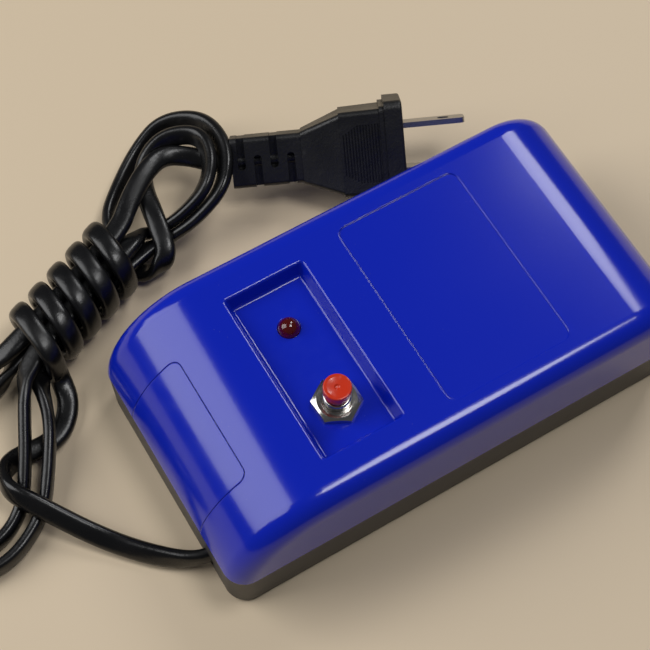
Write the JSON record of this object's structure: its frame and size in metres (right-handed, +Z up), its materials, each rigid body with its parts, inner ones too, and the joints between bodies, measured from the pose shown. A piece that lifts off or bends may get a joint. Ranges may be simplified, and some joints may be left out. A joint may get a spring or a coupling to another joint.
{
  "type": "bulk tape eraser",
  "caption": "Blue hand-held mains demagnetiser on a black base, with push button, lamp, pull-off hatch and a hanked flat lead ending in a two-pin plug.",
  "frame": {"origin": "centre of the case at the table, under the base", "axes": "+X to the far end, away from the lead; +Y to the side hidden from the camera; +Z up"},
  "size_m": [0.2076, 0.1365, 0.0462],
  "materials": {
    "blue_cover": "gloss",
    "black_base": "satin",
    "red_cap": "gloss",
    "red_lens": "clear",
    "plated_steel": "polished",
    "zinc_screw": "brushed",
    "brass_contact": "satin",
    "core_steel": "varnished",
    "magnet_wire": "varnished",
    "amber_tape": "satin",
    "nylon_part": "satin",
    "lead_rubber": "satin",
    "wire_cover": "satin"
  },
  "bodies": {
    "case": {"upper_cover": "blue_cover", "lower_case": "black_base", "case_screws": "zinc_screw", "button_bushing": "plated_steel", "lock_washer": "plated_steel", "button_nut": "plated_steel", "switch_terminals": "brass_contact", "switch_body": "nylon_part", "switch_spring": "plated_steel", "lamp_lens": "red_lens", "lamp_legs": "plated_steel", "lamp_resistor": "nylon_part", "lamp_diode": "wire_cover", "core_laminations": "core_steel", "coil_bobbin": "nylon_part", "coil_winding": "magnet_wire", "winding_tape": "amber_tape", "core_clamp": "zinc_screw", "core_clamp_screws": "zinc_screw", "cord_clamp": "nylon_part", "cord_clamp_screws": "zinc_screw", "lead_tail": "lead_rubber", "selector_body": "black_base", "selector_pins": "brass_contact", "selector_screws": "zinc_screw", "live_wire": "wire_cover", "neutral_wire": "wire_cover", "switched_wire": "wire_cover", "return_wire": "wire_cover", "plug_moulding": "lead_rubber", "plug_blades": "plated_steel", "power_cord": "lead_rubber", "cord_hank": "lead_rubber"},
    "push_button": {"button_cap": "red_cap", "button_plunger": "nylon_part", "moving_contact": "brass_contact"},
    "hatch": {"nose_hatch": "blue_cover"},
    "selector": {"selector_slider": "nylon_part"}
  },
  "joints": [
    {"name": "button_press", "type": "slide", "parent": "case", "child": "push_button", "axis": [0, 0, -1], "range_m": [0, 0.0015], "stiffness_N_per_m": 300, "springref_m": -0.003, "deforming": ["switch_spring"]},
    {"name": "hatch_pull", "type": "slide", "parent": "case", "child": "hatch", "axis": [-1, 0, 0], "range_m": [0, 0.024]},
    {"name": "selector_slide", "type": "slide", "parent": "case", "child": "selector", "axis": [0, 1, 0], "range_m": [0, 0.004]}
  ]
}
